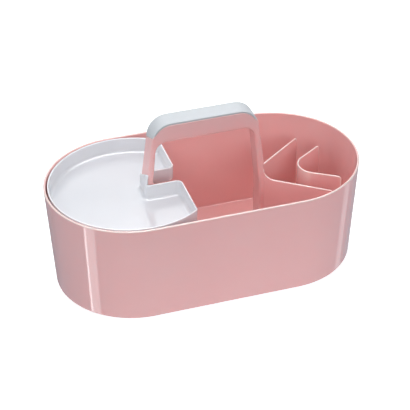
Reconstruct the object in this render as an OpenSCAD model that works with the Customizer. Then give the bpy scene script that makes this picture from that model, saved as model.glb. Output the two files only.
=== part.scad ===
// Cleaning caddy: an oval tub with a carrying arch, two V dividers, a grip cap and a lift-out tray.
// Millimetres. The foot of the tub stands on z = 0, x runs along the tub, and the origin is its centre.

/* [Tub] */
// Length over the rim
tub_l = 380; // [376:1:390]
// Width over the rim
tub_w = 203; // [202:1:208]
// Height of the rim
tub_h = 128.7; // [126:0.1:134]
// Thickness of the wall
tub_wall = 2.6; // [2.2:0.1:2.8]
// How much less the radius is at the foot than at the rim
tub_draft = 7.6; // [6.5:0.1:7.8]
// Height of the top of the floor
floor_top = 7.3; // [6.8:0.1:8]
// Thickness of the floor
floor_t = 2.5; // [2:0.1:3]

/* [Carrying arch] */
// Height of the top of the arch, over the grip cap
arch_h = 205.7; // [202:0.1:215]
// Height of the underside of the hand grip
grip_under = 181.3; // [178:0.1:184]
// Depth of the arch from front to back
arch_d = 25; // [24:0.5:26]
// Radius of the outer corners
arch_r = 24; // [20:1:26]
// Radius of the inner corners
window_r = 14; // [10:1:16]
// Distance of the legs' outer faces from the centre, at and below the rim
leg_x = 72.2; // [71.8:0.1:72.4]
// Lean of the legs' outer faces above the rim, in degrees
leg_lean = 7.8; // [6:0.1:9]
// Rounding of the legs' outer edges
leg_edge_r = 2.5; // [2.5:0.1:4]
// Distance of the legs' inner faces from the centre, below the dividers' top edge
leg_in_x = 66.4; // [65:0.1:67]
// Lean of the legs' inner faces, in degrees
leg_in_lean = 5.3; // [4:0.1:6]

/* [Dividers] */
// Height of the top edge of the dividers
divider_h = 107.5; // [104:0.1:108]
// Thickness of the dividers
divider_t = 2; // [1.8:0.1:2.4]
// Angle of the arch's divider arms from the long axis
arm_angle = 36.5; // [35:0.5:38]
// Angle of the inner divider's arms from the long axis
inner_angle = 33; // [31:0.5:34]
// Radius of the inner divider's rounded nose, on its outside
nose_r = 22; // [20:0.5:24]
// Distance of the nose's centre from the centre of the tub
nose_x = 142.2; // [141:0.1:144]
// Radius about the tub's end centre at which every arm stops
arm_reach = 82; // [78:1:85]
// Rounding of the arms' upper ends
arm_end_r = 5; // [3:0.5:7]
// Radius of the sweep from an arm's top edge up to the leg
sweep_r = 12; // [8:1:14]

/* [Tray] */
// Radius of the tray's round side
tray_r = 97; // [96:0.1:97]
// Wall and floor thickness of the tray
tray_t = 1.8; // [1.5:0.1:2]
// Distance of the tray's straight edge from the centre of the tub
tray_edge_x = 31; // [29:1:34]
// Width of the notch that clears the arch's leg
notch_w = 27; // [26.5:0.5:28]
// Height of the finger tab above the rim
tab_h = 13.5; // [10:0.5:15]

/* [Grip cap] */
// Thickness of the cap
cap_t = 3.6; // [3.4:0.1:4]
// How far the cap stands proud of the arch
cap_proud = 2.5; // [2:0.1:2.6]
// Height at which the cap ends, at the front
cap_end_front = 189; // [186:1:191]
// Height at which the cap ends, at the back
cap_end_back = 180; // [178:1:190]

/* [Screws] */
// Diameter of a screw's shank
screw_d = 3.5; // [3.5:0.1:4]
// Length of a screw under its head
screw_l = 12; // [10:1:13]

/* [Hidden] */

PINK = "#d79c9e";
WHITE = "#f2f2f4";
GREY = "#dadedf";
STEEL = "#b9bcc0";

eps = 0.01;
lap = 0.5;                              // overlap where two shapes of one piece join
round_fn = 96;

rim_r = tub_w / 2;
foot_r = rim_r - tub_draft;
end_x = (tub_l - tub_w) / 2;            // centre of each round end
rim_c = tub_h - tub_wall / 2;           // centre of the rolled rim
foot_chamfer = 1.2;
floor_in_r = foot_r - tub_wall + tub_draft * floor_top / tub_h;
skirt_h = floor_top - floor_t;

wall_t = 2.5;                           // walls of the hollow hand grip
cap_gap = 0.15;                         // play round the cap
ledge = 0.7;                            // wall left beside the cap
hook_l = 8;                             // length of one snap hook
hook_drop = 5;
hook_t = 1.5;
hook_places = [-36, -12, 12, 36];
rib_places = [-24, 0, 24];

boss_d = 8;
boss_h = 14;
pilot_d = 3;
clear_d = 4.2;
head_d = 7;
head_h = 2.3;
nose_boss_x = leg_x + 7.5;
boss_along = 62;                        // how far along an arm its boss stands

arm_start_y = arch_d / 2 - divider_t / 2;
arm_l = run_to(leg_x, arm_start_y, arm_angle, arm_reach);
inner_start = [nose_x - (nose_r - divider_t / 2) * sin(inner_angle),
               (nose_r - divider_t / 2) * cos(inner_angle)];
inner_l = run_to(inner_start[0], inner_start[1], inner_angle, arm_reach);
inner_boss_along = inner_l * 0.6;

tray_z = divider_h + 0.1;               // the tray rests on the arms under it
tray_h = tub_h - tray_z;
notch_x = leg_x + 0.6;
notch_r = 4.5;
mouth_r = 7.5;
tip_r = 4;
tab_w = arch_d - 0.5;
tab_t = 1.5;

// Length of a line from (x, y) at an angle until it is r away from the end centre
function run_to(x, y, angle, r) =
    let (px = x - end_x, b = px * cos(angle) + y * sin(angle))
    -b + sqrt(b * b - px * px - y * y + r * r);

// Points on an arc about c, from angle a0 to a1
function arc(c, r, a0, a1, n) =
    [for (i = [0 : n]) let (a = a0 + (a1 - a0) * i / n) [c[0] + r * cos(a), c[1] + r * sin(a)]];

// Point some way along an arm
function arm_point(x, y, angle, along) = [x + along * cos(angle), y + along * sin(angle)];
function both(p) = [p, [p[0], -p[1]]];

// Places of the screws, seen from above
frame_screws_right = concat([[nose_boss_x, 0]],
                            both(arm_point(leg_x, arm_start_y, arm_angle, boss_along)));
divider_screws = concat([[nose_x - nose_r + divider_t / 2, 0]],
                        both(arm_point(inner_start[0], inner_start[1], inner_angle, inner_boss_along)));
screw_places = concat(frame_screws_right, [for (p = frame_screws_right) [-p[0], p[1]]], divider_screws);

// ---- tub ----

// Section from the long centre line outwards: x is the distance from it, y the height
module tub_section() {
    difference() {
        union() {
            polygon([[0, 0], [foot_r - foot_chamfer, 0], [foot_r, foot_chamfer],
                     [rim_r, rim_c], [0, rim_c]]);
            translate([rim_r - tub_wall / 2, rim_c]) circle(d = tub_wall, $fn = round_fn);
        }
        polygon([[-1, floor_top], [floor_in_r, floor_top], [rim_r - tub_wall, rim_c],
                 [rim_r - tub_wall, rim_c + eps], [-1, rim_c + eps]]);
        polygon([[-1, -1], [foot_r - tub_wall, -1], [foot_r - tub_wall, skirt_h], [-1, skirt_h]]);
    }
}

// Carries a section round the oval
module oval_sweep() {
    for (side = [0, 1]) {
        mirror([side, 0, 0]) translate([end_x, 0, 0]) rotate([0, 0, -90])
            rotate_extrude(angle = 180, $fn = 2 * round_fn) children();
        mirror([0, side, 0]) rotate([90, 0, 90])
            linear_extrude(2 * end_x, center = true) children();
    }
}

module tub() {
    color(PINK) difference() {
        oval_sweep() tub_section();
        for (p = screw_places)
            translate([p[0], p[1], skirt_h - 1]) cylinder(d = clear_d, h = floor_t + 2, $fn = 32);
    }
}

// ---- arch with its divider arms ----

// Outline of the arch, front view, drawn in by some distance
module arch_outline(inset) {
    out = [cos(leg_lean), sin(leg_lean)];
    corner_z = arch_h - arch_r;
    reach = leg_x * out[0] + tub_h * out[1] - arch_r;
    corner_x = (reach - corner_z * out[1]) / out[0];
    r = arch_r - inset;
    meet = [corner_x, corner_z] + r * out;
    side = leg_x - inset;
    polygon([[-side, floor_top], [-side, tub_h], [-meet[0], meet[1]], [-corner_x, corner_z + r],
             [corner_x, corner_z + r], [meet[0], meet[1]], [side, tub_h], [side, floor_top]]);
    for (s = [-1, 1]) translate([s * corner_x, corner_z]) circle(r = r, $fn = round_fn);
}

// Outline of the opening under the hand grip, down past the floor
module window_outline() {
    out = [cos(leg_in_lean), sin(leg_in_lean)];
    corner_z = grip_under - window_r;
    bend_z = divider_h - 5;
    reach = leg_in_x * out[0] + bend_z * out[1] - window_r;
    corner_x = (reach - corner_z * out[1]) / out[0];
    meet = [corner_x, corner_z] + window_r * out;
    polygon([[-leg_in_x, 0], [-leg_in_x, bend_z], [-meet[0], meet[1]], [-corner_x, grip_under],
             [corner_x, grip_under], [meet[0], meet[1]], [leg_in_x, bend_z], [leg_in_x, 0]]);
    for (s = [-1, 1]) translate([s * corner_x, corner_z]) circle(r = window_r, $fn = round_fn);
}

// Everything above the slanted line where the cap ends, moved down by some distance
module above_cap_end(lower) {
    rotate([90, 0, 90]) linear_extrude(2 * leg_x, center = true)
        polygon([[-arch_d, end_line(-arch_d) - lower], [arch_d, end_line(arch_d) - lower],
                 [arch_d, arch_h + 1], [-arch_d, arch_h + 1]]);
}
function end_line(y) = cap_end_front + (cap_end_back - cap_end_front) * (y + arch_d / 2) / arch_d;

// Front-view outline given a depth, centred on the arch
module deep(depth) {
    rotate([90, 0, 0]) linear_extrude(depth, center = true) children();
}

// Plan of the arch, with the legs' outer edges rounded
module rounded_plan(l, w, r) {
    square([l - 2 * r, w], center = true);
    square([l, w - 2 * r], center = true);
    for (x = [-1, 1]) for (y = [-1, 1])
        translate([x * (l / 2 - r), y * (w / 2 - r)]) circle(r = r, $fn = 48);
}

module handle_body() {
    difference() {
        intersection() {
            deep(arch_d) difference() {
                arch_outline(0);
                window_outline();
            }
            linear_extrude(arch_h + 1) rounded_plan(2 * leg_x, arch_d, leg_edge_r);
        }
        // the arch is lower beside the cap
        intersection() {
            deep(arch_d + 1) difference() {
                arch_outline(-1);
                arch_outline(cap_proud);
            }
            above_cap_end(0);
        }
        // seat of the cap
        intersection() {
            deep(arch_d - 2 * ledge) difference() {
                arch_outline(-1);
                arch_outline(cap_t + cap_gap);
            }
            above_cap_end(cap_gap);
        }
        // hollow of the hand grip, crossed by ribs
        difference() {
            deep(arch_d - 2 * wall_t)
                translate([-50, grip_under + wall_t])
                    square([100, arch_h - grip_under - wall_t - cap_t]);
            for (x = rib_places) translate([x, 0, grip_under]) cube([2, arch_d, 28], center = true);
        }
    }
}

// Side view of an arm: straight, with its upper end rounded
module arm_side(l) {
    h = divider_h - floor_top;
    square([l - arm_end_r, h]);
    square([l, h - arm_end_r]);
    translate([l - arm_end_r, h - arm_end_r]) circle(r = arm_end_r, $fn = round_fn);
}

module arm(start, angle, l, sweep) {
    translate([start[0], start[1], floor_top]) rotate([90, 0, angle])
        linear_extrude(divider_t, center = true) {
            arm_side(l);
            if (sweep > 0) difference() {
                translate([-sweep / 4, divider_h - floor_top - 1]) square([1.25 * sweep, sweep + 1]);
                translate([sweep, divider_h - floor_top + sweep]) circle(r = sweep, $fn = round_fn);
            }
        }
}

module boss(p) {
    translate([p[0], p[1], floor_top]) cylinder(d = boss_d, h = boss_h, $fn = 48);
}

module pilot(p) {
    translate([p[0], p[1], floor_top - 1]) cylinder(d = pilot_d, h = boss_h - 1, $fn = 32);
}

// Both arms, the bosses and the web on one side; sweep is the rise of the arms at the leg
module leg_wings(sweep) {
    for (s = [0, 1]) mirror([0, s, 0])
        arm([leg_x - 1, arm_start_y - 0.7], arm_angle, arm_l + 1.2, sweep);
    for (p = frame_screws_right) boss(p);
    translate([leg_x - 1, -1, floor_top]) cube([nose_boss_x - leg_x + 1, 2, boss_h]);
}

module handle_frame() {
    color(PINK) difference() {
        union() {
            handle_body();
            leg_wings(sweep_r);
            mirror([1, 0, 0]) leg_wings(0);
        }
        for (m = [0, 1]) mirror([m, 0, 0]) for (p = frame_screws_right) pilot(p);
    }
}

// ---- inner divider ----

module inner_divider() {
    h = divider_h - floor_top;
    color(PINK) difference() {
        union() {
            translate([nose_x, 0, floor_top]) linear_extrude(h) intersection() {
                difference() {
                    circle(r = nose_r, $fn = round_fn);
                    circle(r = nose_r - divider_t, $fn = round_fn);
                }
                polygon([[0, 0], [-3 * nose_r * sin(inner_angle), 3 * nose_r * cos(inner_angle)],
                         [-4 * nose_r, 0],
                         [-3 * nose_r * sin(inner_angle), -3 * nose_r * cos(inner_angle)]]);
            }
            for (s = [0, 1]) mirror([0, s, 0])
                arm(arm_point(inner_start[0], inner_start[1], inner_angle, -lap), inner_angle,
                    inner_l + lap, 0);
            for (p = divider_screws) boss(p);
        }
        for (p = divider_screws) pilot(p);
    }
}

// ---- grip cap ----

module grip_cap() {
    width = arch_d - 2 * ledge - 2 * cap_gap;
    hook_top = arch_h - cap_t;
    color(GREY) {
        intersection() {
            deep(width) difference() {
                arch_outline(0);
                arch_outline(cap_t);
            }
            above_cap_end(0);
        }
        for (x = hook_places) for (s = [-1, 1])
            translate([x - hook_l / 2, s * (arch_d / 2 - wall_t - hook_t / 2 - cap_gap) - hook_t / 2,
                       hook_top - hook_drop])
                cube([hook_l, hook_t, hook_drop + eps]);
    }
}

// ---- tray ----

// Plan outline of the tray, drawn in by some distance
function tray_corner_y() =
    sqrt(pow(tray_r - tip_r, 2) - pow(end_x - tray_edge_x - tip_r, 2));
function tray_half(inset) =
    let (tip = [-tray_edge_x - tip_r, tray_corner_y()],
         turn = atan2(tip[1], tip[0] + end_x),
         mouth = [-tray_edge_x - mouth_r, notch_w / 2 + mouth_r],
         notch = [-notch_x + notch_r, notch_w / 2 - notch_r])
    concat(arc(notch, notch_r + inset, 180, 90, 6),
           arc(mouth, mouth_r - inset, 270, 360, 8),
           arc(tip, tip_r - inset, 0, turn, 5),
           arc([-end_x, 0], tray_r - inset, turn, 180, 60));
function mirrored(points) =
    [for (i = [len(points) - 1 : -1 : 0]) [points[i][0], -points[i][1]]];
module tray_plan(inset) {
    half = tray_half(inset);
    polygon(concat(half, mirrored(half)));
}

module lift_out_tray() {
    color(WHITE) {
        translate([0, 0, tray_z]) difference() {
            linear_extrude(tray_h) tray_plan(0);
            translate([0, 0, tray_t]) linear_extrude(tray_h) tray_plan(tray_t);
        }
        // finger tab beside the arch's leg: it leans with the leg and is higher at the front
        translate([-notch_x - tray_t, 0, tub_h]) rotate([0, leg_lean, 0]) rotate([90, 0, 90])
            linear_extrude(tab_t)
                polygon([[tab_w / 2, 0], [-tab_w / 2, tab_h], [-tab_w / 2, -1], [tab_w / 2, -1]]);
    }
}

// ---- screws ----

module base_screw() {
    slot = [4, 0.9, 2.4];
    color(STEEL) difference() {
        union() {
            translate([0, 0, skirt_h - head_h]) cylinder(d1 = head_d - 1.6, d2 = head_d, h = 0.8, $fn = 48);
            translate([0, 0, skirt_h - head_h + 0.8]) cylinder(d = head_d, h = head_h - 0.8, $fn = 48);
            translate([0, 0, skirt_h - eps]) cylinder(d = screw_d, h = screw_l - 2, $fn = 32);
            translate([0, 0, skirt_h + screw_l - 2 - 2 * eps]) cylinder(d1 = screw_d, d2 = 1, h = 2, $fn = 32);
        }
        for (a = [0, 90]) translate([0, 0, skirt_h - head_h]) rotate([0, 0, a]) cube(slot, center = true);
    }
}

module base_screws() {
    for (p = screw_places) translate([p[0], p[1], 0]) base_screw();
}

tub();
handle_frame();
inner_divider();
grip_cap();
lift_out_tray();
base_screws();
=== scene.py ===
import math

import bmesh
import bpy
from mathutils import Matrix, Vector


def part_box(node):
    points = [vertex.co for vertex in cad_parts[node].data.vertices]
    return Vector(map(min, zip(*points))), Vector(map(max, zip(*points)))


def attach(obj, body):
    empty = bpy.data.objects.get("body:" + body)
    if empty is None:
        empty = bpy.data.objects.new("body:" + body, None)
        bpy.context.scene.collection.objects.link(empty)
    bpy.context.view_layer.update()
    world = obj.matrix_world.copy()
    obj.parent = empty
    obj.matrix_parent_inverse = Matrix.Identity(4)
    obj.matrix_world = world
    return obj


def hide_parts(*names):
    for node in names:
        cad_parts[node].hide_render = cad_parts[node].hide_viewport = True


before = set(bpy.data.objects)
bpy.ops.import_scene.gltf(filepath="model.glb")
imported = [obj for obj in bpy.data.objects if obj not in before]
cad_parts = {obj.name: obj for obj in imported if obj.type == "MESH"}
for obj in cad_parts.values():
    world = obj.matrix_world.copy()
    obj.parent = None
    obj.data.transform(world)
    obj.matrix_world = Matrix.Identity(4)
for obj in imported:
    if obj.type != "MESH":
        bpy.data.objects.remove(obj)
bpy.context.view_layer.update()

MM = 0.001          # the shapes below are worked out in millimetres


# ---------------------------------------------------------------- sizes, in millimetres

def box_mm(node):
    """Lowest and highest corner of a CAD node, in millimetres."""
    low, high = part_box(node)
    return Vector(low) / MM, Vector(high) / MM


TUB_HIGH = box_mm("tub")[1]
FRAME_LOW, FRAME_HIGH = box_mm("handle_frame")

RIM_R = TUB_HIGH.y                      # radius of the round ends at the rim
END_X = TUB_HIGH.x - RIM_R              # centre of each round end
RIM_Z = TUB_HIGH.z
WALL = 2.6                              # thickness of the tub's wall
DRAFT = 7.6                             # how far the wall comes in from the rim to the foot
FLOOR_Z = FRAME_LOW.z                   # the frame stands on the tub's floor
SKIRT_Z = FLOOR_Z - 2.5                 # underside of the floor

ARCH_Z = box_mm("grip_cap")[1].z        # top of the arch over the cap
ARCH_D = 25.0                           # depth of the arch, front to back
HALF_D = ARCH_D / 2
GRIP_Z = 181.3                          # underside of the grip
ARCH_R = 24.0                           # outer corner of the arch
WINDOW_R = 14.0                         # inner corner of the arch
LEG_X = 72.2                            # outer face of a leg, below the rim
LEG_LEAN = math.radians(7.8)
LEG_IN_X = 66.4                         # inner face of a leg, below the arms' tops
LEG_IN_LEAN = math.radians(5.3)
LEG_EDGE_R = 2.5                        # outer edges of a leg
CAP_EDGE_R = 0.6                        # outer edges of the arch beside the cap
IN_EDGE_R = 3.0                         # inner edges of the arch

DIVIDER_Z = 107.5                       # top of the dividers
DIVIDER_T = 2.0
ARM_ANGLE = math.radians(36.5)          # an arm's angle from the tub's long axis
INNER_ANGLE = math.radians(33)
NOSE_R = 22.0                           # round nose of the inner divider
NOSE_X = 142.2
ARM_REACH = 82.0                        # how far the arms' ends are from the end's centre
ARM_END_R = 5.0
SWEEP_R = 12.0                          # sweep of an arm's top edge up into the leg
BOSS_R = 4.0
BOSS_HOLE_R = 1.75
BOSS_H = 14.0
BOSS_OUT = 7.5                          # from a leg's outer face to the middle of its boss
BOSS_ALONG = 62                         # from an arm's start to the middle of its boss

TRAY_R = 97.0
TRAY_T = 1.8
TRAY_EDGE_X = 31.0                      # straight edge of the tray, from the tub's middle
NOTCH_W = 27.0
NOTCH_X = LEG_X + 0.6
TRAY_Z = box_mm("lift_out_tray")[0].z   # underside of the tray
TAB_H = 13.5
TAB_TURN = 135                          # where the tab ends, as an angle round the notch's corner

CAP_T = 3.6
CAP_PROUD = ARCH_Z - FRAME_HIGH.z       # how far the cap stands above the arch beside it
CAP_GAP = 0.15
LEDGE = 0.7                             # width of the arch's wall beside the cap
CAP_END_FRONT = 189.0                   # height of the cap's ends at the front and at the back
CAP_END_BACK = 180.0
CAP_LIP_RUN = 7                         # length over which the lip beside the cap comes down at its end


# ---------------------------------------------------------------- mesh building

class Form:
    """Collects skins of rings of points, in millimetres, and makes one object of them."""

    def __init__(self):
        self.points = []
        self.faces = []

    def skin(self, rings, first_cap=False, last_cap=False):
        """Quads between rings of equal length; the caps close the first and the last ring."""
        start = len(self.points)
        size = len(rings[0])
        for ring in rings:
            self.points += [Vector(p) * MM for p in ring]
        for k in range(len(rings) - 1):
            a, b = start + k * size, start + (k + 1) * size
            for i in range(size):
                j = (i + 1) % size
                self.faces.append((a + i, a + j, b + j, b + i))
        if first_cap:
            self.faces.append(tuple(start + i for i in reversed(range(size))))
        if last_cap:
            last = start + (len(rings) - 1) * size
            self.faces.append(tuple(last + i for i in range(size)))

    def make(self, name, sharp=38):
        """The object, with doubled points merged and faces turned outwards."""
        mesh = bpy.data.meshes.new(name)
        mesh.from_pydata(self.points, [], self.faces)
        mesh.validate()
        work = bmesh.new()
        work.from_mesh(mesh)
        bmesh.ops.remove_doubles(work, verts=work.verts, dist=2e-6)
        flat = [f for f in work.faces if f.calc_area() < 4e-7 * max(e.calc_length() for e in f.edges)]
        bmesh.ops.delete(work, geom=flat, context="FACES_ONLY")
        bmesh.ops.delete(work, geom=[e for e in work.edges if not e.link_faces], context="EDGES")
        bmesh.ops.delete(work, geom=[v for v in work.verts if not v.link_faces], context="VERTS")
        bmesh.ops.recalc_face_normals(work, faces=work.faces)
        work.to_mesh(mesh)
        work.free()
        mesh.shade_smooth()
        mesh.set_sharp_from_angle(angle=math.radians(sharp))
        piece = bpy.data.objects.new(name, mesh)
        bpy.context.scene.collection.objects.link(piece)
        return piece


def arc(x, y, r, start, stop, steps):
    """Points on an arc, angles in degrees."""
    angles = [math.radians(start + (stop - start) * i / steps) for i in range(steps + 1)]
    return [(x + r * math.cos(a), y + r * math.sin(a)) for a in angles]


def mix(a, b, t):
    return a + (b - a) * t


def bend(a, corner, b, steps):
    """Points of a smooth turn from a to b round a corner, without its two ends."""
    out = []
    for i in range(1, steps + 1):
        t = i / (steps + 1)
        out.append(tuple(mix(mix(p, q, t), mix(q, r, t), t) for p, q, r in zip(a, corner, b)))
    return out


def lathe(form, x, y, profile, steps=40):
    """Adds a turned shape about the vertical line through (x, y)."""
    rings = []
    for r, z in profile:
        rings.append([(x + r * math.cos(2 * math.pi * i / steps),
                       y + r * math.sin(2 * math.pi * i / steps), z) for i in range(steps)])
    form.skin(rings)


def run_to(x, y, angle, r):
    """Length of a line from (x, y) until it is r away from the end's centre."""
    px = x - END_X
    b = px * math.cos(angle) + y * math.sin(angle)
    return -b + math.sqrt(b * b - px * px - y * y + r * r)


# ---------------------------------------------------------------- tub

def oval(r, z, steps=80):
    """Ring at distance r round the tub's long centre line."""
    right = [(END_X + x, y, z) for x, y in arc(0, 0, r, -90, 90, steps)]
    left = [(-END_X + x, y, z) for x, y in arc(0, 0, r, 90, 270, steps)]
    return right + left


def make_tub():
    foot_r = RIM_R - DRAFT
    foot_in = foot_r - WALL
    rim_c = RIM_Z - WALL / 2
    slope = DRAFT / RIM_Z
    floor_in = foot_in + slope * FLOOR_Z
    foot_round, corner = 1.8, 1.0
    outside = arc(foot_r - foot_round, foot_round, foot_round, -90, 0, 14)
    walls = []
    for t in (0, 0.01, 0.02, 0.13, 0.25, 0.38, 0.5, 0.62, 0.75, 0.87, 0.98, 0.99, 1):
        z = mix(foot_round, rim_c, t)
        walls.append((foot_r + slope * z, z))
    rim = arc(RIM_R - WALL / 2, rim_c, WALL / 2, 0, 180, 14)
    inside_z = (RIM_Z - 2.5, RIM_Z - 4, 110, 90, 70, 50, 30, 18)
    inside = [(RIM_R - WALL - slope * (rim_c - z), z) for z in inside_z]
    profile = ([(0, SKIRT_Z), (foot_in - 2.5, SKIRT_Z)]
               + arc(foot_in - corner, SKIRT_Z - corner, corner, 90, 0, 5)
               + arc(foot_in + 0.6, 0.6, 0.6, 180, 270, 4)
               + outside + walls + rim + inside
               + arc(floor_in - corner, FLOOR_Z + corner, corner, 0, -90, 5)
               + [(floor_in - 3, FLOOR_Z), (0, FLOOR_Z)])
    form = Form()
    form.skin([oval(r, z) for r, z in profile])
    gate_mark = [(0, -0.2), (3.2, -0.2), (3.2, 0.7), (2.8, 1.0), (1.3, 1.0), (1.1, 1.4), (0, 1.4)]
    lathe(form, 0, 0, [(r, SKIRT_Z - depth) for r, depth in gate_mark])
    return form.make("tub_shell")


# ---------------------------------------------------------------- arch and its arms

IN_CORNER_Z = GRIP_Z - WINDOW_R
IN_BEND_Z = DIVIDER_Z - 5
OUT_N = (math.cos(LEG_LEAN), math.sin(LEG_LEAN))
IN_N = (math.cos(LEG_IN_LEAN), math.sin(LEG_IN_LEAN))
OUT_CX = (LEG_X * OUT_N[0] + RIM_Z * OUT_N[1] - ARCH_R - (ARCH_Z - ARCH_R) * OUT_N[1]) / OUT_N[0]
IN_CX = (LEG_IN_X * IN_N[0] + IN_BEND_Z * IN_N[1] - WINDOW_R - IN_CORNER_Z * IN_N[1]) / IN_N[0]
CORNER_L = ARCH_R * (math.pi / 2 - LEG_LEAN)      # length of an outer corner
SWEEP_Z = DIVIDER_Z + SWEEP_R                     # where the arms have run up into the leg


def leg_in(z):
    """Distance of a leg's inner face from the centre."""
    return LEG_IN_X - max(0.0, z - IN_BEND_Z) * math.tan(LEG_IN_LEAN)


def outline(s):
    """Point and normal of the arch's outline, s along it from the middle of the grip."""
    side = -1 if s < 0 else 1
    s = abs(s)
    if s <= OUT_CX:
        point, normal = (s, ARCH_Z), (0, 1)
    elif s <= OUT_CX + CORNER_L:
        a = mix(math.pi / 2, LEG_LEAN, (s - OUT_CX) / CORNER_L)
        normal = (math.cos(a), math.sin(a))
        point = (OUT_CX + ARCH_R * normal[0], CORNER_Z + ARCH_R * normal[1])
    else:
        z = CORNER_Z + ARCH_R * OUT_N[1] - (s - OUT_CX - CORNER_L)
        normal = OUT_N if z > RIM_Z else (1, 0)
        point = (LEG_X - max(0.0, z - RIM_Z) * math.tan(LEG_LEAN), z)
    return (side * point[0], point[1]), (side * normal[0], normal[1])


def inner_outline(x, z):
    """Point and normal of the arch's inner outline that belong to a point of the outer one."""
    side = -1 if x < 0 else 1
    x = abs(x)
    turn = math.atan2(z - IN_CORNER_Z, x - IN_CX)
    if x <= IN_CX:
        point, normal = (x, GRIP_Z), (0, 1)
    elif turn >= LEG_IN_LEAN:
        normal = (math.cos(turn), math.sin(turn))
        point = (IN_CX + WINDOW_R * normal[0], IN_CORNER_Z + WINDOW_R * normal[1])
    else:
        top = IN_CORNER_Z + math.tan(LEG_IN_LEAN) * (x - IN_CX)
        inner_z = mix(IN_CORNER_Z + WINDOW_R * IN_N[1], SWEEP_Z, (top - z) / (top - SWEEP_Z))
        point, normal = (leg_in(inner_z), inner_z), IN_N
    return (side * point[0], point[1]), (side * normal[0], normal[1])


def s_of_height(z):
    """Place on the outline, as for outline, that is at height z."""
    low, high = OUT_CX, ARCH_END
    for _ in range(50):
        middle = (low + high) / 2
        if outline(middle)[0][1] > z:
            low = middle
        else:
            high = middle
    return low


CORNER_Z = ARCH_Z - ARCH_R
ARCH_END = OUT_CX + CORNER_L + CORNER_Z + ARCH_R * OUT_N[1] - SWEEP_Z
CAP_S_FRONT = s_of_height(CAP_END_FRONT)
CAP_S_BACK = s_of_height(CAP_END_BACK)
CAP_S = (CAP_S_FRONT + CAP_S_BACK) / 2
CAP_SLANT = (CAP_S_BACK - CAP_S_FRONT) / ARCH_D


def smooth(t):
    t = min(1.0, max(0.0, t))
    return t * t * (3 - 2 * t)


def slanted(s, y):
    """s moved along the arch as the slanted end of the cap is, fading out away from it."""
    fade = smooth(1 - abs(abs(s) - CAP_S) / 22)
    return s + math.copysign(1, s) * CAP_SLANT * y * fade


def under_outline(s, depth, y, slant_y=None):
    """Point at a depth under the arch's outline. slant_y is the y that the slant goes by, if it isn't y."""
    (x, z), (nx, nz) = outline(slanted(s, y if slant_y is None else slant_y))
    return (x - nx * depth, y, z - nz * depth)


def over_inner(s, height, y):
    """Point at a height over the arch's inner outline."""
    (x, z), (nx, nz) = inner_outline(*outline(slanted(s, y))[0])
    return (x + nx * height, y, z + nz * height)


SIDE_N = 4                              # points along a flat side of a section
CORNER_N = 11                           # points round a section's inner corner
EDGE_N = 16                             # points round a section's outer edge
ARM_FIXED = [0.6, 1.5, 3, 4.5, 6, 7.5, 9, 10.3, 11.3]
ARM_FAR = [0.0, 0.25, 0.5, 0.75, 0.9]
ARM_NEAR = [3, 2, 1.2, 0.7, 0.35, 0.12, 0.03, 0]
BEND_N = 4
OUTER_N = 2 * (len(ARM_FIXED) + len(ARM_FAR) + len(ARM_NEAR)) - 1 + 2 * BEND_N + 3


def both_halves(half):
    """A ring from its half at +y, which starts and ends at y = 0."""
    return half + [(x, -y, z) for x, y, z in reversed(half[1:-1])]


def inner_edge(x):
    """(x, y) of a section's inner face, from its middle, and round its edge."""
    return ([(x, y) for y in (0, HALF_D * 0.3, HALF_D * 0.6)]
            + arc(x + IN_EDGE_R, HALF_D - IN_EDGE_R, IN_EDGE_R, 180, 90, CORNER_N - 1))


def plain_edge(r):
    """(depth, y) from the side of a section, round its edge and along its flat outer face."""
    wide = HALF_D - r
    count = OUTER_N - EDGE_N
    return ([(r - h, y) for h, y in arc(0, wide, r, 90, 0, EDGE_N - 1)]
            + [(0, wide * (1 - ((i + 1) / count) ** 1.3)) for i in range(count)])


def seat_edge(r, lower):
    """(depth, y) from the side of a section, over the wall beside the cap and along the cap's seat."""
    deep = CAP_T + CAP_GAP
    lip_y = HALF_D - LEDGE
    fine = 0.1
    points = [(lower + r - h, y) for h, y in arc(0, HALF_D - r, r, 90, 0, EDGE_N - 1)]
    points += [(lower + fine - h, y) for h, y in arc(0, lip_y + fine, fine, 0, -90, 4)]
    points += [(mix(lower + fine, deep, t), lip_y) for t in (0.25, 0.5, 0.75, 1)]
    count = OUTER_N - len(points)
    return points + [(deep, lip_y * (1 - (i + 1) / count)) for i in range(count)]


def arch_half(s, seat, way):
    """Half a section of the arch at s, on the side of y that way gives."""
    points = [over_inner(s, h, way * y) for h, y in inner_edge(0)]
    if seat:
        edge = seat_edge(CAP_EDGE_R, CAP_PROUD * smooth((CAP_S - abs(s)) / CAP_LIP_RUN))
    else:
        edge = plain_edge(mix(CAP_EDGE_R, LEG_EDGE_R, smooth((abs(s) - CAP_S) / 8)))
    low, high = over_inner(s, IN_EDGE_R, way * HALF_D), under_outline(s, edge[0][0], way * HALF_D)
    points += [tuple(mix(a, b, i / SIDE_N) for a, b in zip(low, high)) for i in range(1, SIDE_N)]
    return points + [under_outline(s, depth, way * y) for depth, y in edge]


def arch_ring(s, seat):
    """Section of the arch at s; seat says whether it is under the cap."""
    return arch_half(s, seat, 1) + list(reversed(arch_half(s, seat, -1)[1:-1]))


def rounded(depth):
    """Half thickness of a divider's rounded edge, that far in from the edge."""
    half = DIVIDER_T / 2
    if depth >= half:
        return half
    if depth <= 0:
        return 0.0
    return math.sqrt(half * half - (half - depth) ** 2)


ARM_START = (LEG_X, (ARCH_D - DIVIDER_T) / 2)
ARM_L = run_to(*ARM_START, ARM_ANGLE, ARM_REACH)


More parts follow.
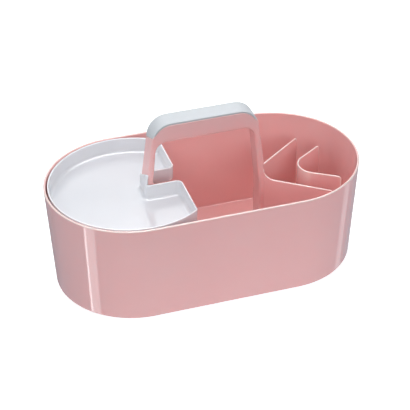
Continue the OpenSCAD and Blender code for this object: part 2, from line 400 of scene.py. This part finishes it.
def arm_top(s, length, swept):
    """Height of an arm's top edge at s along it."""
    if swept and s < SWEEP_R:
        return SWEEP_Z - math.sqrt(SWEEP_R ** 2 - (SWEEP_R - s) ** 2)
    past = s - (length - ARM_END_R)
    if past > 0:
        return DIVIDER_Z - ARM_END_R + math.sqrt(max(0.0, ARM_END_R ** 2 - past ** 2))
    return DIVIDER_Z


def column_ring(z, swept, tip, side):
    """Level section of a leg with its two arms. tip is how far the arms reach at this height."""
    x_in = leg_in(z)
    points = inner_edge(x_in)
    bend_x = LEG_X - LEG_EDGE_R
    points += [(mix(x_in + IN_EDGE_R, bend_x, i / SIDE_N), HALF_D) for i in range(1, SIDE_N)]
    if tip is None:
        points += [(LEG_X - depth, y) for depth, y in plain_edge(LEG_EDGE_R)]
    else:
        c, s = math.cos(ARM_ANGLE), math.sin(ARM_ANGLE)
        first = min(1.0, tip / SWEEP_R)
        places = [p * first for p in ARM_FIXED]
        if tip > SWEEP_R:
            places += [mix(SWEEP_R, tip - 4, t) for t in ARM_FAR] + [tip - t for t in ARM_NEAR]
        else:
            places += [tip] * (len(ARM_FAR) + len(ARM_NEAR))

        def face(along, way):
            wide = min(rounded(arm_top(along, ARM_L, swept) - z), rounded(ARM_L - along)) * way
            return (ARM_START[0] + along * c - wide * s, ARM_START[1] + along * s + wide * c)

        outer = [face(p, 1) for p in places]
        inner = [face(p, -1) for p in reversed(places[:-1])]
        points += bend((bend_x, HALF_D), (LEG_X - 0.5, HALF_D), outer[0], BEND_N)
        points += outer + inner
        points += bend(inner[-1], (LEG_X, HALF_D - 2.2), (LEG_X, HALF_D * 0.62), BEND_N)
        points += [(LEG_X, HALF_D * f) for f in (0.5, 0.25, 0)]
    return both_halves([(side * x, y, z) for x, y in points])


def column(side, swept):
    """Level rings of one leg with its arms, from the floor up."""
    rings = [column_ring(z, swept, ARM_L, side) for z in (FLOOR_Z, 40, 75, DIVIDER_Z - ARM_END_R)]
    for i in range(1, 8):
        z = DIVIDER_Z - ARM_END_R * (1 - math.sin(math.radians(90 * i / 8)))
        tip = ARM_L - ARM_END_R + math.sqrt(ARM_END_R ** 2 - (z - DIVIDER_Z + ARM_END_R) ** 2)
        rings.append(column_ring(z, swept, tip, side))
    rings.append(column_ring(DIVIDER_Z, swept, ARM_L - ARM_END_R, side))
    if swept:
        rings.append(column_ring(DIVIDER_Z, swept, SWEEP_R, side))
        for i in range(1, 13):
            a = math.radians(90 * (1 - i / 12))
            rings.append(column_ring(SWEEP_Z - SWEEP_R * math.sin(a), swept,
                                     SWEEP_R * (1 - math.cos(a)), side))
    else:
        rings.append(column_ring(DIVIDER_Z, swept, 0, side))
        rings += [column_ring(DIVIDER_Z + rise, swept, None, side) for rise in (0.5, 6)]
    rings.append(column_ring(SWEEP_Z + 0.5, swept, None, side))
    return rings


def add_boss(form, x, y):
    """A screw boss standing on the floor, with its blind hole."""
    top = FLOOR_Z + BOSS_H
    hole_top = top - 1.2
    lathe(form, x, y, [(BOSS_HOLE_R, FLOOR_Z), (BOSS_R, FLOOR_Z), (BOSS_R, top - 0.5),
                       (BOSS_R - 0.15, top - 0.15), (BOSS_R - 0.5, top), (0, top)])
    lathe(form, x, y, [(BOSS_HOLE_R, FLOOR_Z), (BOSS_HOLE_R, hole_top), (0, hole_top)])


def make_frame():
    legs = [ARCH_END - 3]
    while legs[-1] > CAP_S + 5:
        legs.append(legs[-1] - 4)
    plain = [(s, False) for s in legs + [CAP_S + 1.2, CAP_S + 0.4, CAP_S]]
    under_cap = [CAP_S - d for d in (0.02, 0.7, 1.5, 2.5, 3.5, 4.5, 5.5, CAP_LIP_RUN)]
    under_cap += [mix(CAP_S - CAP_LIP_RUN, OUT_CX, i / 16) for i in range(1, 17)]
    under_cap += [OUT_CX * f for f in (0.75, 0.5, 0.25)]
    right = plain + [(s, True) for s in under_cap]
    stations = right + [(0, True)] + [(-s, seat) for s, seat in reversed(right)]
    rings = column(1, True) + [arch_ring(s, seat) for s, seat in stations]
    rings += list(reversed(column(-1, False)))
    form = Form()
    form.skin(rings, first_cap=True, last_cap=True)
    leg_boss_x = LEG_X + BOSS_OUT
    arm_boss_x = ARM_START[0] + BOSS_ALONG * math.cos(ARM_ANGLE)
    arm_boss_y = ARM_START[1] + BOSS_ALONG * math.sin(ARM_ANGLE)
    for side in (1, -1):
        for x, y in ((leg_boss_x, 0), (arm_boss_x, arm_boss_y), (arm_boss_x, -arm_boss_y)):
            add_boss(form, side * x, y)
        web = [(side * (LEG_X - 1), 1), (side * (LEG_X - 1), -1),
               (side * leg_boss_x, -1), (side * leg_boss_x, 1)]
        form.skin([[(x, y, z) for x, y in web] for z in (FLOOR_Z, FLOOR_Z + BOSS_H - 0.3)], True, True)
    return form.make("carrying_frame", sharp=50)


# ---------------------------------------------------------------- inner divider

def strip_ring(x, y, nx, ny, half, top):
    """Upright section of a divider, with a rounded top edge."""
    section = [(-half, FLOOR_Z), (-half, mix(FLOOR_Z, top, 0.3)), (-half, mix(FLOOR_Z, top, 0.6))]
    for a in range(0, 181, 18):
        turn = math.radians(a)
        section.append((-half * math.cos(turn), top - DIVIDER_T / 2 + abs(half) * math.sin(turn)))
    section += [(half, mix(FLOOR_Z, top, 0.6)), (half, mix(FLOOR_Z, top, 0.3)), (half, FLOOR_Z)]
    return [(x + nx * w, y + ny * w, z) for w, z in section]


def make_divider():
    mid_r = NOSE_R - DIVIDER_T / 2
    start = (NOSE_X - mid_r * math.sin(INNER_ANGLE), mid_r * math.cos(INNER_ANGLE))
    length = run_to(*start, INNER_ANGLE, ARM_REACH)
    c, s = math.cos(INNER_ANGLE), math.sin(INNER_ANGLE)
    along = [0, 0.3 * length, 0.6 * length, length - ARM_END_R - 2, length - ARM_END_R]
    along += [length - ARM_END_R * (1 - math.sin(math.radians(a))) for a in range(10, 81, 10)]
    along += [length - d for d in (0.06, 0.02, 0)]

    def arm_ring(d, way):
        half = rounded(length - d)
        top = arm_top(d, length, False)
        return strip_ring(start[0] + d * c, way * (start[1] + d * s), way * -s, c, half * way, top)

    half_turn = 90 - math.degrees(INNER_ANGLE)
    rings = [arm_ring(d, 1) for d in reversed(along)]
    for i in range(1, 30):
        a = math.radians(180 - half_turn + 2 * half_turn * i / 30)
        rings.append(strip_ring(NOSE_X + mid_r * math.cos(a), mid_r * math.sin(a),
                                math.cos(a), math.sin(a), DIVIDER_T / 2, DIVIDER_Z))
    rings += [arm_ring(d, -1) for d in along]
    form = Form()
    form.skin(rings)
    add_boss(form, NOSE_X - mid_r, 0)
    for way in (1, -1):
        add_boss(form, start[0] + 0.6 * length * c, way * (start[1] + 0.6 * length * s))
    return form.make("inner_divider_wall", sharp=50)


# ---------------------------------------------------------------- grip cap

def cap_ring(s, shrink):
    """Section of the cap, with round edges over a shadow gap; shrink draws it in at the cap's ends."""
    wide = HALF_D - LEDGE - CAP_GAP - shrink
    under = CAP_T - 0.05
    crown, r, recess = 0.15, 0.9, 0.9
    half = [(under, 0), (under, wide * 0.4), (under, wide * 0.75), (under, wide - recess - 0.2),
            (under - 0.2, wide - recess), (2.6, wide - recess)]
    half += [(shrink + crown + r + 0.4 - h, y) for h, y in arc(0, wide - r, r, 180, 90, 6)]
    half += [(shrink + crown + r - h, y) for h, y in arc(0, wide - r, r, 90, 0, 7)]
    for i in range(1, 10):
        y = (wide - r) * (1 - i / 9)
        half.append((shrink + crown * (y / wide) ** 2, y))
    points = half + [(depth, -y) for depth, y in reversed(half[1:-1])]
    return [under_outline(s, depth, y, y * (wide + shrink) / wide) for depth, y in points]


def make_cap():
    last = CAP_S - CAP_GAP
    r = 0.6
    ends = []
    for i in range(6):
        a = math.radians(90 * i / 5)
        ends.append((last - r * (1 - math.cos(a)), r * (1 - math.sin(a))))
    body = [mix(last - r, OUT_CX, i / 20) for i in range(1, 21)]
    body += [OUT_CX * f for f in (0.8, 0.6, 0.4, 0.2)]
    right = ends + [(s, 0) for s in body]
    stations = right + [(0, 0)] + [(-s, shrink) for s, shrink in reversed(right)]
    form = Form()
    form.skin([cap_ring(s, shrink) for s, shrink in stations], first_cap=True, last_cap=True)
    return form.make("grip_cap_band", sharp=50)


# ---------------------------------------------------------------- tray

def tray_ring(inset, z, lift):
    """The tray's outline drawn in by inset. lift is how much of the finger tab's height it takes."""
    tip_r = max(4.0 - inset, 0.6)
    reach = TRAY_R - inset
    tip_x = -TRAY_EDGE_X - inset - tip_r
    tip_y = math.sqrt((reach - tip_r) ** 2 - (tip_x + END_X) ** 2)
    turn = math.degrees(math.atan2(tip_y, tip_x + END_X))
    mouth_r, notch_r = 7.5, 4.5
    half_w = NOTCH_W / 2
    corner = (-NOTCH_X + notch_r, half_w - notch_r, notch_r + inset)
    on_wall = [(-NOTCH_X - inset, corner[1] * i / 9) for i in range(9)]
    on_wall += arc(*corner, 180, TAB_TURN, 8)
    half = on_wall + arc(*corner, TAB_TURN - 0.5, 90, 8)
    half += arc(-TRAY_EDGE_X - mouth_r, half_w + mouth_r, mouth_r - inset, 270, 360, 14)
    half += arc(tip_x, tip_y, tip_r, 0, turn, 10)
    half += arc(-END_X, 0, reach, turn, 180, 80)[1:]
    ring = []
    for way, points in ((1, list(enumerate(half))), (-1, list(reversed(list(enumerate(half))[1:-1])))):
        for i, (x, y) in points:
            rise = lift * tab_height(way * y) if i < len(on_wall) else 0
            lean = max(0.0, z + rise - RIM_Z) * math.tan(LEG_LEAN)
            ring.append((x + lean, way * y, z + rise))
    return ring


def tab_height(y):
    """Height of the finger tab's sloped top above the rim, with its front corner rounded."""
    end, r = 12.2, 1.5
    height = TAB_H * min(1.0, max(0.0, (end - y) / (2 * end)))
    past = min(r, max(0.0, r - end - y))
    return height - r + math.sqrt(r * r - past * past)


def make_tray():
    top = RIM_Z
    floor = TRAY_Z + TRAY_T
    low_r, in_r, rim_r = 5.0, 4.0, TRAY_T / 2
    lean = 0.4
    profile = [(low_r + 1.6, TRAY_Z), (low_r + 0.8, TRAY_Z)]
    profile += [(low_r + lean + x, TRAY_Z + low_r + y) for x, y in arc(0, 0, low_r, 270, 180, 9)]
    profile += [(mix(lean, 0, t), mix(TRAY_Z + low_r, top - rim_r, t)) for t in (0.5, 0.6, 0.7, 0.8, 0.9)]
    profile += [(rim_r + x, top - rim_r + y) for x, y in arc(0, 0, rim_r, 180, 0, 10)]
    profile += [(mix(TRAY_T, TRAY_T + lean, t), mix(top - rim_r, floor + in_r, t))
                for t in (0.1, 0.2, 0.3, 0.4, 0.5)]
    profile += [(TRAY_T + lean + in_r + x, floor + in_r + y) for x, y in arc(0, 0, in_r, 180, 270, 9)]
    profile += [(TRAY_T + lean + in_r + 0.6, floor)]
    lift_from, lift_run = top - 9, 7
    rings = [tray_ring(inset, z, min(1.0, max(0.0, (z - lift_from) / lift_run))) for inset, z in profile]
    form = Form()
    form.skin(rings, first_cap=True, last_cap=True)
    return form.make("tray_shell", sharp=45)


# ---------------------------------------------------------------- materials

PINK_LIGHT = (0.94, 0.54, 0.52)
PINK_DARK = (0.92, 0.52, 0.50)
# pale tint laid on the pink pieces' edges as a painted highlight
PINK_EDGE_HIGHLIGHT = (0.98, 0.78, 0.72)
PINK_DEPTH = (0.004, 0.0016, 0.0014)
WHITE_LIGHT = (0.775, 0.78, 0.80)
WHITE_DARK = (0.76, 0.765, 0.785)
# pale tint laid on the tray's edges as a painted highlight
WHITE_EDGE_HIGHLIGHT = (0.93, 0.94, 0.96)
WHITE_DEPTH = (0.003, 0.0027, 0.0025)
GREY_LIGHT = (0.665, 0.69, 0.70)
GREY_DARK = (0.615, 0.645, 0.66)
ZINC_LIGHT = (0.68, 0.68, 0.66)
ZINC_DARK = (0.52, 0.53, 0.56)
PLASTIC_IOR = 1.6
PLASTIC_GLOW = 0.3                      # share of the light that spreads under the plastic's surface
HIGHLIGHT_EDGE_FROM, HIGHLIGHT_EDGE_FULL = 0.512, 0.521     # pointiness at which the painted highlight on an edge starts, and is full
HIGHLIGHT_LOW_Z, HIGHLIGHT_HIGH_Z = 0.01, 0.05         # heights, in metres, between which the painted edge highlight fades in

def new_material(name):
    material = bpy.data.materials.new(name)
    material.use_nodes = True
    nodes = material.node_tree.nodes
    nodes.clear()
    shader = nodes.new("ShaderNodeBsdfPrincipled")
    output = nodes.new("ShaderNodeOutputMaterial")
    material.node_tree.links.new(shader.outputs["BSDF"], output.inputs["Surface"])
    return material, shader


def noise(material, scale, detail=3.0, stretch=(1, 1, 1), rough=0.5):
    """Output of a noise over the object's own coordinates."""
    nodes, links = material.node_tree.nodes, material.node_tree.links
    place = nodes.new("ShaderNodeTexCoord")
    mapping = nodes.new("ShaderNodeMapping")
    mapping.inputs["Scale"].default_value = stretch
    texture = nodes.new("ShaderNodeTexNoise")
    texture.inputs["Scale"].default_value = scale
    texture.inputs["Detail"].default_value = detail
    texture.inputs["Roughness"].default_value = rough
    links.new(place.outputs["Object"], mapping.inputs["Vector"])
    links.new(mapping.outputs["Vector"], texture.inputs["Vector"])
    return texture.outputs["Fac"]


def ramp(material, value, low, high, start, stop):
    """Value mapped from [start, stop] to [low, high]."""
    node = material.node_tree.nodes.new("ShaderNodeMapRange")
    node.inputs["From Min"].default_value = start
    node.inputs["From Max"].default_value = stop
    node.inputs["To Min"].default_value = low
    node.inputs["To Max"].default_value = high
    material.node_tree.links.new(value, node.inputs["Value"])
    return node.outputs["Result"]


def blend_colours(material, factor, first, second):
    node = material.node_tree.nodes.new("ShaderNodeMix")
    node.data_type = "RGBA"
    node.inputs["A"].default_value = (*first, 1)
    node.inputs["B"].default_value = (*second, 1)
    material.node_tree.links.new(factor, node.inputs["Factor"])
    return node.outputs["Result"]


def add_bump(material, shader, heights):
    """Chains bumps: each height is (value, distance in metres, strength)."""
    nodes, links = material.node_tree.nodes, material.node_tree.links
    last = None
    for value, distance, strength in heights:
        node = nodes.new("ShaderNodeBump")
        node.inputs["Distance"].default_value = distance
        node.inputs["Strength"].default_value = strength
        links.new(value, node.inputs["Height"])
        if last is not None:
            links.new(last, node.inputs["Normal"])
        last = node.outputs["Normal"]
    links.new(last, shader.inputs["Normal"])


def painted_edge_highlight(material, colour, highlight_colour):
    """A colour with a painted highlight that turns outer edges pale, fading in from just above the foot."""
    nodes, links = material.node_tree.nodes, material.node_tree.links
    geometry = nodes.new("ShaderNodeNewGeometry")
    place = nodes.new("ShaderNodeTexCoord")
    split = nodes.new("ShaderNodeSeparateXYZ")
    links.new(place.outputs["Object"], split.inputs["Vector"])
    both = nodes.new("ShaderNodeMath")
    both.operation = "MULTIPLY"
    links.new(ramp(material, geometry.outputs["Pointiness"], 0, 1, HIGHLIGHT_EDGE_FROM, HIGHLIGHT_EDGE_FULL), both.inputs[0])
    links.new(ramp(material, split.outputs["Z"], 0, 1, HIGHLIGHT_LOW_Z, HIGHLIGHT_HIGH_Z), both.inputs[1])
    node = nodes.new("ShaderNodeMix")
    node.data_type = "RGBA"
    node.inputs["B"].default_value = (*highlight_colour, 1)
    links.new(colour, node.inputs["A"])
    links.new(both.outputs["Value"], node.inputs["Factor"])
    return node.outputs["Result"]


def moulded_plastic(name, light, dark, highlight_colour, roughness, depth, grain=0.15, scuffs=0.03):
    """Moulded plastic: faint flow marks in the colour, orange peel, and fine scuffs in the gloss.

    The pale colour is a painted highlight on its edges. depth says how far light gets into it, by colour,
    in metres.
    """
    material, shader = new_material(name)
    links = material.node_tree.links
    clouds = ramp(material, noise(material, 9, 4), 0, 1, 0.3, 0.7)
    colour = blend_colours(material, clouds, dark, light)
    # the base colour carries a painted highlight on outer edges
    links.new(painted_edge_highlight(material, colour, highlight_colour), shader.inputs["Base Color"])
    streaks = noise(material, 45, 2, (1, 1, 4))
    links.new(ramp(material, streaks, roughness - scuffs / 2, roughness + scuffs, 0.35, 0.7),
              shader.inputs["Roughness"])
    shader.inputs["IOR"].default_value = PLASTIC_IOR
    shader.inputs["Subsurface Weight"].default_value = PLASTIC_GLOW
    shader.inputs["Subsurface Radius"].default_value = depth
    shader.inputs["Subsurface Scale"].default_value = 1.0
    peel = noise(material, 420, 2)
    fine = noise(material, 2600, 2)
    add_bump(material, shader, [(peel, 0.00012, grain), (fine, 0.00003, grain)])
    return material


def satin_grip():
    """Light grey grip with a fine spark-eroded grain."""
    material, shader = new_material("grip_grey")
    links = material.node_tree.links
    clouds = ramp(material, noise(material, 14, 4), 0, 1, 0.3, 0.7)
    links.new(blend_colours(material, clouds, GREY_DARK, GREY_LIGHT), shader.inputs["Base Color"])
    grain = noise(material, 1500, 3, rough=0.6)
    links.new(ramp(material, grain, 0.42, 0.54, 0.35, 0.65), shader.inputs["Roughness"])
    shader.inputs["Specular IOR Level"].default_value = 0.25
    add_bump(material, shader, [(grain, 0.00009, 0.5), (noise(material, 300, 2), 0.0001, 0.2)])
    return material


def zinc_steel():
    """Zinc-plated screw steel with a faint brushed grain."""
    material, shader = new_material("screw_zinc")
    links = material.node_tree.links
    shader.inputs["Metallic"].default_value = 1.0
    patches = ramp(material, noise(material, 300, 4), 0, 1, 0.3, 0.7)
    links.new(blend_colours(material, patches, ZINC_DARK, ZINC_LIGHT), shader.inputs["Base Color"])
    grain = noise(material, 1800, 3, (1, 8, 1))
    links.new(ramp(material, grain, 0.22, 0.42, 0.3, 0.7), shader.inputs["Roughness"])
    add_bump(material, shader, [(grain, 0.00004, 0.4)])
    return material


def studio_floor():
    material, shader = new_material("studio_floor")
    links = material.node_tree.links
    clouds = ramp(material, noise(material, 2, 3), 0, 1, 0.3, 0.7)
    links.new(blend_colours(material, clouds, (0.93, 0.93, 0.93), (0.95, 0.95, 0.95)),
              shader.inputs["Base Color"])
    shader.inputs["Roughness"].default_value = 0.9
    shader.inputs["Specular IOR Level"].default_value = 0.1
    shader.inputs["Emission Color"].default_value = (1, 1, 1, 1)
    shader.inputs["Emission Strength"].default_value = 0.5
    return material


# each of these plastics gets the painted edge highlight in its pale tint
pink_gloss = moulded_plastic("pink_gloss", PINK_LIGHT, PINK_DARK, PINK_EDGE_HIGHLIGHT, 0.05, PINK_DEPTH, 0.1, 0.02)
pink_satin = moulded_plastic("pink_satin", PINK_LIGHT, PINK_DARK, PINK_EDGE_HIGHLIGHT, 0.16, PINK_DEPTH)
tray_white = moulded_plastic("tray_white", WHITE_LIGHT, WHITE_DARK, WHITE_EDGE_HIGHLIGHT, 0.1, WHITE_DEPTH)


def finish_piece(piece, node, body, material):
    piece.data.materials.clear()
    piece.data.materials.append(material)
    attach(piece, body)
    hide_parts(node)


finish_piece(make_tub(), "tub", "caddy", pink_gloss)
finish_piece(make_frame(), "handle_frame", "caddy", pink_satin)
finish_piece(make_divider(), "inner_divider", "caddy", pink_satin)
finish_piece(make_cap(), "grip_cap", "caddy", satin_grip())
finish_piece(make_tray(), "lift_out_tray", "tray", tray_white)

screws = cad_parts["base_screws"]
screws.data.materials.clear()
screws.data.materials.append(zinc_steel())


# ---------------------------------------------------------------- studio

def add_floor():
    mesh = bpy.data.meshes.new("studio_floor")
    half = 60.0
    corners = [(-half, -half, 0), (half, -half, 0), (half, half, 0), (-half, half, 0)]
    mesh.from_pydata(corners, [], [(0, 1, 2, 3)])
    floor = bpy.data.objects.new("studio_floor", mesh)
    bpy.context.scene.collection.objects.link(floor)
    mesh.materials.append(studio_floor())
    # the tub's sides mirror the open studio instead of the floor, and the lights that stand under it
    floor.visible_glossy = False
    floor.visible_diffuse = False
    floor.visible_shadow = False


def look_from(place, target):
    """Rotation that points a light or a camera from place to target."""
    return (Vector(target) - Vector(place)).to_track_quat("-Z", "Y").to_euler()


def add_softbox(name, place, target, size, power, colour=(1, 1, 1)):
    """A soft area light that the camera doesn't see."""
    light = bpy.data.lights.new(name, "AREA")
    light.shape = "RECTANGLE"
    light.size, light.size_y = size
    light.energy = power
    light.color = colour
    lamp = bpy.data.objects.new(name, light)
    lamp.location = place
    lamp.rotation_euler = look_from(place, target)
    lamp.visible_camera = False
    bpy.context.scene.collection.objects.link(lamp)
    return lamp


def add_strip(name, foot, azimuth, width, power, lean):
    """A strip light seen only in the gloss, close by at an azimuth from a point of the tub's end."""
    a = math.radians(azimuth)
    away = 0.3
    low, high = -0.4, 0.0
    place = (foot[0] + away * math.cos(a), foot[1] + away * math.sin(a), (low + high) / 2)
    lamp = add_softbox(name, place, (foot[0], foot[1], place[2]), (width, high - low), power)
    lamp.rotation_euler.rotate_axis("Z", math.radians(lean))
    lamp.visible_diffuse = False
    return lamp


def add_world():
    world = bpy.data.worlds.new("studio")
    bpy.context.scene.world = world
    world.use_nodes = True
    back = world.node_tree.nodes["Background"]
    back.inputs["Color"].default_value = (0.94, 0.98, 1.08, 1)
    back.inputs["Strength"].default_value = 0.385


def add_camera():
    """The camera's place is given by its azimuth, elevation and roll about the point that it faces."""
    azimuth, elevation, roll = math.radians(-17.314), math.radians(34.879), math.radians(-0.526)
    distance = 1.79791
    target = Vector((0, 0, RIM_Z * MM / 2))
    back = Vector((math.sin(azimuth) * math.cos(elevation), -math.cos(azimuth) * math.cos(elevation),
                   math.sin(elevation)))
    right = (-back).cross(Vector((0, 0, 1))).normalized()
    up = right.cross(-back).normalized()
    right, up = (right * math.cos(roll) + up * math.sin(roll), up * math.cos(roll) - right * math.sin(roll))
    camera = bpy.data.cameras.new("camera")
    camera.lens = 131.35
    camera.sensor_width = 36
    camera.shift_x = 0.0036
    camera.shift_y = 0.0203
    camera.clip_start = 0.05
    eye = bpy.data.objects.new("camera", camera)
    turn = Matrix((right, up, back)).transposed().to_4x4()
    eye.matrix_world = Matrix.Translation(target + back * distance) @ turn
    bpy.context.scene.collection.objects.link(eye)
    bpy.context.scene.camera = eye


add_floor()
add_world()
add_camera()
middle = (0, 0, 0.08)
add_softbox("top_box", (0, 0, 1.8), middle, (1.0, 1.0), 8.4)
add_softbox("front_box", (0, -2.2, 0.9), middle, (1.4, 0.8), 11.0)
add_softbox("high_left_box", (-1.4, -0.2, 1.4), middle, (0.7, 0.7), 4.3)
add_softbox("high_right_box", (1.4, -0.2, 1.4), middle, (0.7, 0.7), 3.1)
add_softbox("high_back_box", (0, 1.4, 1.5), middle, (1.2, 0.5), 7.8)
add_softbox("rear_box", (0.3, 2.2, 0.8), middle, (1.4, 0.8), 6.5)
add_softbox("left_box", (-2.0, -0.6, 0.7), middle, (1.0, 1.0), 3.2)
foot_box = add_softbox("foot_box", (0, -0.32, -0.14), (0, -0.1, 0.02), (0.7, 0.06), 0.33)
foot_box.visible_glossy = False
glint = add_softbox("glint_box", (0, 0, 2.0), middle, (3.0, 1.6), 125)
glint.visible_diffuse = False
sheen = add_softbox("sheen_card", (0, -1.1, -1.5), (0, -1.1, 0), (9.6, 5.6), 18, (0.82, 0.95, 1.25))
sheen.visible_diffuse = False
card = add_softbox("back_card", (0.6, 2.35, 1.8), middle, (3.2, 1.8), 17)
card.visible_diffuse = False
left_end = (-0.158, -0.068)
right_end = (0.146, -0.080)
add_strip("left_line", left_end, -174.2, 0.019, 0.125, -5)
add_strip("left_band", left_end, -165.0, 0.085, 0.21, -5)
add_strip("right_band", right_end, 13.5, 0.072, 0.062, 0)

scene = bpy.context.scene
scene.view_settings.view_transform = "Standard"
scene.view_settings.look = "None"


def plain(box):
    return [[round(v, 6) for v in corner] for corner in box]
